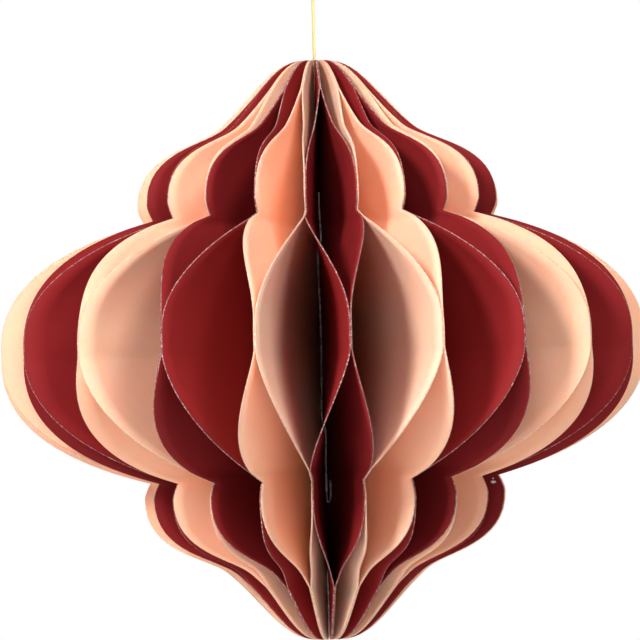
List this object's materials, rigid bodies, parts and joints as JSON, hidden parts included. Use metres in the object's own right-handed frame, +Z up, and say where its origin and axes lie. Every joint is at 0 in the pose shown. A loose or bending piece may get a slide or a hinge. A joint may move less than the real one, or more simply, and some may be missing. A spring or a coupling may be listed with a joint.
{
  "type": "hanging paper ornament",
  "caption": "Hanging paper ornament of folded two-colour cards with a crown, a wide middle lobe and a tail, on a metallic cord with a loop.",
  "frame": {"origin": "underside of the cord at the top of the hanging loop, where a hook bears", "axes": "+Z up along the cord and the ball's axis, -Y towards the viewer of the picture, +X to the viewer's right"},
  "size_m": [0.2, 0.2, 0.2301],
  "materials": {
    "peach_paper": "smooth card, semi-matte",
    "burgundy_paper": "smooth card, semi-matte",
    "gold_cord": "twisted metallic yarn",
    "clear_thread": "clear monofilament"
  },
  "bodies": {
    "root": {"peach_card_01": "peach_paper", "burgundy_card_01": "burgundy_paper", "peach_card_02": "peach_paper", "burgundy_card_02": "burgundy_paper", "peach_card_03": "peach_paper", "burgundy_card_03": "burgundy_paper", "peach_card_04": "peach_paper", "burgundy_card_04": "burgundy_paper", "peach_card_05": "peach_paper", "burgundy_card_05": "burgundy_paper", "peach_card_06": "peach_paper", "burgundy_card_06": "burgundy_paper", "peach_card_07": "peach_paper", "burgundy_card_07": "burgundy_paper", "peach_card_08": "peach_paper", "burgundy_card_08": "burgundy_paper", "peach_card_09": "peach_paper", "burgundy_card_09": "burgundy_paper", "peach_card_10": "peach_paper", "burgundy_card_10": "burgundy_paper", "peach_card_11": "peach_paper", "burgundy_card_11": "burgundy_paper", "hanging_cord": "gold_cord", "loop_knot": "gold_cord", "hanging_loop": "gold_cord", "stopper_knot": "gold_cord", "binding_thread": "clear_thread"}
  },
  "joints": []
}
